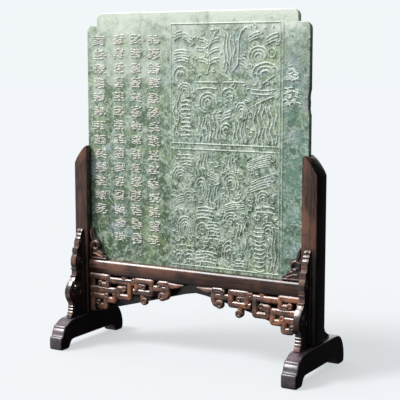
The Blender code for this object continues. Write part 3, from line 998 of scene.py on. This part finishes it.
strokes = Ridges(on_slab, SLAB_CREST)
chance = random.Random(31)
vary = chance.uniform
print("strokes stand", round(SLAB_CREST, 2), "mm high")

# %% [markdown]
# ## Four columns of small signs
# Seen from a step away, the small signs are blocks of short strokes. Each block here is a few rows of
# broken level strokes, with curls and dots strewn between them. A seeded random generator varies their
# number, length and slant, so that no two blocks are alike, and none of them is a letter of any script.

# %% Ticks, curls and blocks of them
THICK = 1.25


def tick(across, up, reach, lean, thick=THICK, relief=1.0):
    """A short stroke about a point, with its slope in degrees."""
    turn = math.radians(lean)
    side = Vector((math.cos(turn), math.sin(turn))) * (reach / 2)
    middle = Vector((across, up))
    strokes.line(middle - side, middle + side, thick, relief)


def curl(across, up, reach, thick=THICK):
    start = vary(0, 360)
    radii = (reach / 2, reach / 2 * vary(0.6, 1.0))
    strokes.curve((across, up), radii, start, start + vary(130, 240), thick, 6)


def block(across, up, wide, high):
    left = across - wide / 2
    rows = chance.choice((4, 5, 5))
    for row in range(rows):
        level = up + high * ((row + 0.5) / rows - 0.5)
        at = left + vary(0.0, 0.15) * wide
        end = left + wide * vary(0.85, 1.0)
        while at < end - 1.5:
            reach = min(vary(2.4, 8.5), end - at)
            lift = vary(-0.45, 0.45)
            tick(at + reach / 2, level + lift, reach, vary(-16, 16))
            at += reach + vary(0.7, 1.5)
    for _ in range(chance.choice((2, 3, 4))):
        curl(left + wide * vary(0.15, 0.85), up + high * vary(-0.4, 0.4), vary(2.6, 4.2), THICK * 0.9)
    for _ in range(chance.choice((2, 3))):
        tick(left + wide * chance.random(), up + high * vary(-0.5, 0.5), vary(1.6, 3.0), vary(30, 150),
             THICK * 0.9)


print("short strokes are", THICK, "mm wide")

# %% The columns and the margin
# The columns: middle, top sign's height, number of signs and their width
COLUMNS = (
    (-109.5, 314.0, 13, 16.5), (-86.0, 315.0, 15, 13.5), (-65.5, 315.0, 15, 13.5), (-44.0, 314.5, 15, 14.5),
)
SIGN_PITCH = 14.35
# Two loose heaps of strokes in the right margin: middle height and half height
MARGIN = 107.0
MARGIN_HEAPS = ((283.0, 8.0), (260.0, 7.0))

for middle, top, count, wide in COLUMNS:
    for row in range(count):
        shift = vary(-0.8, 0.8)
        high = vary(9.0, 11.0)
        block(middle + shift, top - row * SIGN_PITCH, wide, high)
for level, high in MARGIN_HEAPS:
    for _ in range(12):
        curl(MARGIN + vary(-7, 7), level + vary(-high, high), vary(3.5, 6.5), THICK * 1.15)
        tick(MARGIN + vary(-7, 7), level + vary(-high, high), vary(3.0, 7.0), vary(-25, 25), THICK * 1.15)
print("small signs use", len(strokes.faces), "faces")

# %% [markdown]
# ## The seal panel
# The framed panel has two registers of large signs in a flowing hand: nested arches, stacks of short bars,
# wavy uprights, rings and claws. Each motif is a short helper that draws a few ridges inside a box. A table
# then places the motifs, so that the panel has the same rhythm as the carved one and still spells nothing.


# %% Motifs of long strokes
def free(path, thick, taper=0.3):
    """A stroke whose points stray a little, as a hand-held tool does."""
    stray = 0.3
    loose = [Vector(point) + Vector((vary(-stray, stray), vary(-stray, stray))) for point in path]
    strokes.ridge(loose, thick * vary(0.85, 1.15), taper)


def bars(box, count, sag=0.8, thick=1.8):
    """Level strokes one above the other, bowed up or down a little."""
    left, right, low, high = box
    for row in range(count):
        level = low + (high - low) * (row + 0.5) / count
        bow = sag + vary(-0.5, 0.5)
        start = left + vary(0, 0.12) * (right - left)
        end = right - vary(0, 0.12) * (right - left)
        path = []
        for step in range(5):
            path.append((start + (end - start) * step / 4, level + bow * math.sin(math.pi * step / 4)))
        free(path, thick)


def lanes(box, count, swing=1.2, thick=1.8):
    """Upright strokes side by side that sway like reeds."""
    left, right, low, high = box
    for lane in range(count):
        where = left + (right - left) * (lane + 0.5) / count
        phase = lane * 0.9 + vary(0, 0.6)
        turns = (high - low) / 14
        top = high - vary(0, 0.12) * (high - low)
        path = []
        for step in range(11):
            share = step / 10
            sway = swing * math.sin(share * turns * 4 + phase)
            path.append((where + sway, top - (top - low) * share))
        free(path, thick, 0.2)


def arches(box, count, turn=0, sweep=160, thick=1.8):
    """Nested arcs about one centre, opened towards one side."""
    left, right, low, high = box
    centre = ((left + right) / 2, (low + high) / 2)
    start = turn + 90 - sweep / 2
    for nest in range(count):
        share = 1 - nest / count
        radii = ((right - left) / 2 * share, (high - low) / 2 * share)
        free(arc(centre, radii, start, start + sweep, 12), thick)


print("long motifs ready")


# %% Motifs of small strokes
def claw(box, count=3, lean=1, thick=1.7):
    """Short strokes that fan out from one corner."""
    left, right, low, high = box
    for blade in range(count):
        share = (blade + 0.5) / count
        root = (left if lean > 0 else right, low + (high - low) * share * 0.6)
        tip = (right if lean > 0 else left, low + (high - low) * (0.35 + share * 0.65))
        knee = ((root[0] + tip[0]) / 2, (root[1] + tip[1]) / 2 + 0.9)
        free([root, knee, tip], thick)


def trail(points, thick=1.8):
    """One smooth stroke through a few given points."""
    strokes.ridge(points, thick, taper=0.3)


def ring(across, up, radius, thick=1.1):
    """A small ring with a dot in it."""
    strokes.curve((across, up), (radius, radius), 0, 345, thick, 12)
    strokes.curve((across, up), (radius * 0.2, radius * 0.2), 0, 300, thick * 0.7, 4)


def crumbs(box, count):
    """Curls and ticks strewn over what the larger strokes leave empty."""
    left, right, low, high = box
    for _ in range(count):
        across, up = vary(left, right), vary(low, high)
        if chance.random() < 0.6:
            curl(across, up, vary(2.5, 5.0))
        else:
            tick(across, up, vary(2.5, 5.5), vary(-70, 70))


def draw(signs, **alike):
    """Draws a table of motifs, each with its box and its own values."""
    for motif, *values in signs:
        motif(*values, **alike)


print("small motifs ready")

# %% Upper register
# Each row: motif, its box as left, right, low and high, how many strokes, and what bends them
UPPER_SIGNS = (
    (claw, (-21, -12, 312, 324), 3), (claw, (-11, -1, 309, 323), 3, -1), (bars, (-21, -3, 291, 304), 5, 1.6),
    (arches, (-21, -4, 270, 288), 2, 20, 190), (arches, (-16, 0, 256, 272), 3, 0, 150),
    (bars, (-13, -1, 219, 256), 9, 0.8), (lanes, (-22, -14, 220, 262), 2, 1.6),
    (trail, ((27, 322), (24, 316), (20, 309), (11, 303)), 1.8), (lanes, (17, 22, 284, 321), 1, 1.4, 1.8),
    (claw, (20, 30, 308, 317), 2, 1), (claw, (8, 18, 308, 317), 2, -1), (claw, (20, 30, 299, 308), 2, 1),
    (claw, (8, 18, 299, 308), 2, -1), (claw, (20, 30, 289, 298), 2, 1), (claw, (8, 18, 289, 298), 2, -1),
    (bars, (3, 31, 271, 275), 1, 0.2, 1.6), (bars, (3, 29, 264, 269), 1, 0.8, 1.6),
    (arches, (8, 28, 243, 263), 3, 30, 250, 1.6), (lanes, (6, 31, 216, 243), 6, 1.0),
    (trail, ((60, 325), (54.5, 322), (51.5, 314), (51, 300), (50.5, 290), (45, 284)), 2.2),
    (lanes, (34, 48, 286, 322), 4, 0.9), (bars, (32, 61, 271, 276), 1, 0.4, 1.6),
    (claw, (53, 61, 284, 300), 3, -1), (arches, (33, 50, 252, 268), 2, 0, 170), (claw, (32, 43, 234, 248), 3),
    (arches, (48, 61, 236, 254), 3, -30, 200), (arches, (32, 44, 219, 234), 2, 60, 230),
    (lanes, (45, 61, 216, 236), 4, 1.2), (claw, (62, 73, 310, 322), 3), (claw, (80, 93, 307, 321), 3),
    (arches, (62, 83, 288, 307), 3, 0, 190), (ring, 86.5, 301, 4.2), (arches, (66, 94, 270, 292), 3, 30, 210),
    (trail, ((74, 271), (80, 274), (84, 277), (89, 280)), 1.5), (bars, (62, 92, 261, 269), 2, -1.2, 1.5),
    (trail, ((93, 262), (84, 259), (74, 255), (65, 250)), 1.5), (lanes, (67, 93, 216, 254), 6, 1.7),
    (ring, 64.5, 243, 2.6), (ring, 64.5, 224, 2.2), (crumbs, (-22, 93, 216, 326), 150),
)
draw(UPPER_SIGNS)
print("strokes with the upper register", len(strokes.faces))

# %% Lower register
LOWER_RINGS = (
    (54, 184, 2.4), (88, 183, 2.3), (88, 202, 2.3), (30, 143, 2.3), (57, 146, 2.3), (73, 145, 2.3),
    (82, 145, 2.2), (-17, 109, 2.5), (15, 115, 2.3), (12, 127, 2.4), (-16, 200, 2.2), (27, 194, 2.4),
    (88, 163, 2.2), (-12, 146, 2.2), (45, 127, 2.3), (26, 113, 2.2), (54, 106, 2.3), (0, 184, 2.3),
)
LOWER_SIGNS = (
    (arches, (-23, -3, 166, 190), 4, 25, 130), (bars, (-13, 1, 190, 203), 4, 1.0),
    (claw, (-21, -9, 150, 164), 4, 1), (arches, (-10, 3, 148, 166), 3, -20, 180),
    (arches, (-17, 2, 117, 141), 4, 10, 260), (arches, (-21, -8, 94, 106), 2, 0, 200),
    (bars, (-8, 2, 95, 113), 4, 1.2), (lanes, (6, 20, 182, 206), 4, 1.3), (claw, (20, 31, 174, 188), 4, -1),
    (lanes, (17, 31, 152, 174), 4, 1.1), (arches, (4, 17, 158, 180), 3, -40, 200),
    (bars, (4, 25, 138, 152), 4, 1.3), (bars, (16, 31, 119, 138), 6, 0.9),
    (arches, (5, 19, 118, 136), 1, 0, 300), (bars, (3, 30, 94, 108), 4, 1.8),
    (lanes, (34, 50, 186, 206), 5, 1.0), (arches, (35, 52, 166, 186), 3, -30, 200),
    (arches, (41, 58, 158, 172), 2, 180, 220), (claw, (34, 58, 148, 160), 4, 1),
    (arches, (35, 53, 132, 148), 3, 0, 170), (lanes, (49, 61, 112, 140), 3, 1.6),
    (arches, (34, 50, 94, 120), 3, 70, 220), (bars, (47, 60, 94, 103), 3, 1.0),
    (claw, (62, 86, 188, 207), 6, 1), (claw, (65, 86, 168, 188), 5, 1),
    (arches, (71, 86, 154, 171), 3, 60, 220), (bars, (70, 93, 148, 157), 2, 1.4),
    (arches, (76, 92, 122, 142), 3, -20, 170), (lanes, (83, 93, 96, 130), 3, 0.9),
    (bars, (68, 81, 93, 138), 11, -1.5),
)
draw([(ring, *place) for place in LOWER_RINGS], thick=1.0)
draw(LOWER_SIGNS, thick=1.4)
crumbs((-22, 93, 95, 205), 230)
print("all strokes", len(strokes.faces))

# %% [markdown]
# ## The slab itself
# The slab is a flat plate with stepped, rounded corners at the top. Its outline is drawn once as a list of
# points, given a front and a back, and its rim is rounded with a bevel. The panel's frame lines are long
# ridges, and all ridges are added to the same mesh with the paler finish. On the right edge a short stretch
# is worn a little hollow.

# %% Outline of the slab
NOTCH = 11.9 * MM
NOTCH_ROUND = 7.0 * MM
INNER_ROUND = 1.2 * MM
RIM_ROUND = 0.9 * MM
# The worn place on the right edge: height and depth in millimetres
WORN_EDGE = ((244.0, 0.0), (246.5, 0.7), (250.0, 1.1), (255.0, 0.8), (260.0, 1.2), (264.0, 0.8), (268.0, 0.0))


def slab_outline():
    half = SLAB_HIGH.x
    top = SLAB_HIGH.z
    shoulder = top - NOTCH
    step = half - NOTCH
    turn = NOTCH_ROUND
    right = [(half, SLAB_LOW.z)]
    right += arc((half - turn, shoulder - turn), (turn, turn), 0, 90, 10)
    right += arc((step + INNER_ROUND, shoulder + INNER_ROUND), (INNER_ROUND, INNER_ROUND), 270, 180, 4)
    right += arc((step - turn, top - turn), (turn, turn), 0, 90, 10)
    worn = [(half - depth * MM, up * MM) for up, depth in WORN_EDGE]
    return right[:1] + worn + right[1:] + [(-across, up) for across, up in reversed(right)]


print("slab outline has", len(slab_outline()), "points")

# %% Frame lines and the joined slab
FRAME_LEVELS = (329.2, 213.4, 208.0, 92.1)
# The upright lines: place across, width and share of the full relief
FRAME_UPRIGHTS = ((-24.0, 1.1, 0.5), (95.0, 1.2, 0.7), (98.0, 1.2, 0.7))


def frame_lines():
    left, right = FRAME_UPRIGHTS[0][0], FRAME_UPRIGHTS[1][0]
    for level in FRAME_LEVELS:
        strokes.line((left, level), (right, level), 1.5, relief=0.9)
    for across, width, relief in FRAME_UPRIGHTS:
        strokes.line((across, FRAME_LEVELS[-1]), (across, FRAME_LEVELS[0]), width, relief)


def inscribed_slab():
    shape = plate(slab_outline(), SLAB_FACE, SLAB_HIGH.y)
    round_rim(shape, RIM_ROUND)
    add_faces(shape, strokes.points, strokes.faces, 1)
    return object_of("inscribed_jade_slab", shape, [jade, stroke_jade])


frame_lines()
stand_for(inscribed_slab(), "jade_slab")

# %% [markdown]
# ## Floor and light
# A plain pale floor and a pale surround stand in for a photographer's table. One broad sun high on the left
# and in front models the carving, and a very wide one straight above acts as the soft box over the table.
# Floor and surround are seen by the camera alone and throw no light back, so the undersides of the dark
# stand stay deep.

# %% Floor and surround
BACKDROP = (0.887, 0.921, 0.948)
BACKDROP_TOO = (0.885, 0.920, 0.948)
FLOOR_TONE = (0.238, 0.240, 0.246)
FLOOR_TONE_TOO = (0.235, 0.237, 0.243)
FLOOR_GLOW = 0.60
FLOOR_SIZE = 30
DOME_RADIUS = 14


def dress(piece, finish, tone, **rays):
    """Lets a piece glow, and shows it to the kinds of ray that are named and to no others."""
    finish.set("Emission Color", finish.mix(tone, BACKDROP, BACKDROP_TOO))
    finish.material.cycles.emission_sampling = "NONE"
    piece.data.materials.append(finish.material)
    for kind in ("camera", "diffuse", "glossy", "transmission", "volume_scatter", "shadow"):
        setattr(piece, "visible_" + kind, rays.get(kind, False))


def add_floor():
    """A pale table that glows a little, as a light table does, so that the shadow on it stays faint."""
    bpy.ops.mesh.primitive_plane_add(size=FLOOR_SIZE)
    floor = bpy.context.active_object
    floor.name = "floor"
    finish = Finish("pale_floor", Roughness=1.0, Specular_IOR_Level=0, Emission_Strength=FLOOR_GLOW)
    tone = finish.noise(3, detail=1)
    finish.set("Base Color", finish.mix(tone, FLOOR_TONE, FLOOR_TONE_TOO))
    dress(floor, finish, tone, camera=True, shadow=True)


def add_surround():
    bpy.ops.mesh.primitive_uv_sphere_add(segments=48, ring_count=24, radius=DOME_RADIUS)
    dome = bpy.context.active_object
    dome.name = "surround"
    finish = Finish("pale_surround", Base_Color=(0, 0, 0, 1), Specular_IOR_Level=0, Emission_Strength=1.0)
    dress(dome, finish, finish.noise(0.2, detail=1), camera=True)


add_floor()
add_surround()
print("floor", FLOOR_SIZE, "m wide, surround", DOME_RADIUS, "m away")

# %% Two soft suns
KEY_FROM = Vector((-0.66, -0.60, 1.0))
TOP_FROM = Vector((-0.35, -0.25, 1.0))


def add_sun(name, direction, strength, angle):
    data = bpy.data.lights.new(name, "SUN")
    data.energy = strength
    data.angle = math.radians(angle)
    lamp = bpy.data.objects.new(name, data)
    lamp.rotation_euler = direction.to_track_quat("Z", "Y").to_euler()
    bpy.context.scene.collection.objects.link(lamp)


add_sun("key_light", KEY_FROM, 3.0, 20)
add_sun("top_soft_box", TOP_FROM, 1.0, 60)

# %% [markdown]
# ### The room
# A room lights an object from where its windows are. The world is bright high on the left and in front, and
# nearly dark on the right and below. That is what turns the polished wood black where it faces away. A
# white wall behind the screen shows only where polish is seen at a low angle, along the tops of the rail
# and the feet.


# %% The room's light
class Room(Patterns):
    """The world's own nodes, where a place is a direction to look in."""

    def __init__(self):
        world = bpy.data.worlds.new("room")
        world.use_nodes = True
        bpy.context.scene.world = world
        self.tree = world.node_tree
        self.shader = self.tree.nodes["Background"]
        self.place = self.node("ShaderNodeTexCoord").outputs["Generated"]


room = Room()
WINDOW = (-0.62, -0.50, 0.60)
DIM, BRIGHT, WHITE = (0.020, 0.021, 0.024), (0.78, 0.80, 0.82), (1.5, 1.52, 1.55)
toward = room.along("X") * WINDOW[0] + room.along("Y") * WINDOW[1] + room.along("Z") * WINDOW[2]
glow = room.step(toward, -0.35, 0.85)
wall = room.step(room.along("Y"), 0.25, 0.65) * room.step(room.along("X"), 0.1, -0.2)
wall = wall * room.step(room.along("Z"), 0.0, 0.06) * room.step(room.along("Z"), 0.45, 0.25)
room.set("Color", room.mix(wall, room.mix(glow, DIM, BRIGHT), WHITE))
bpy.context.scene.view_settings.view_transform = "Standard"
print("light ready")
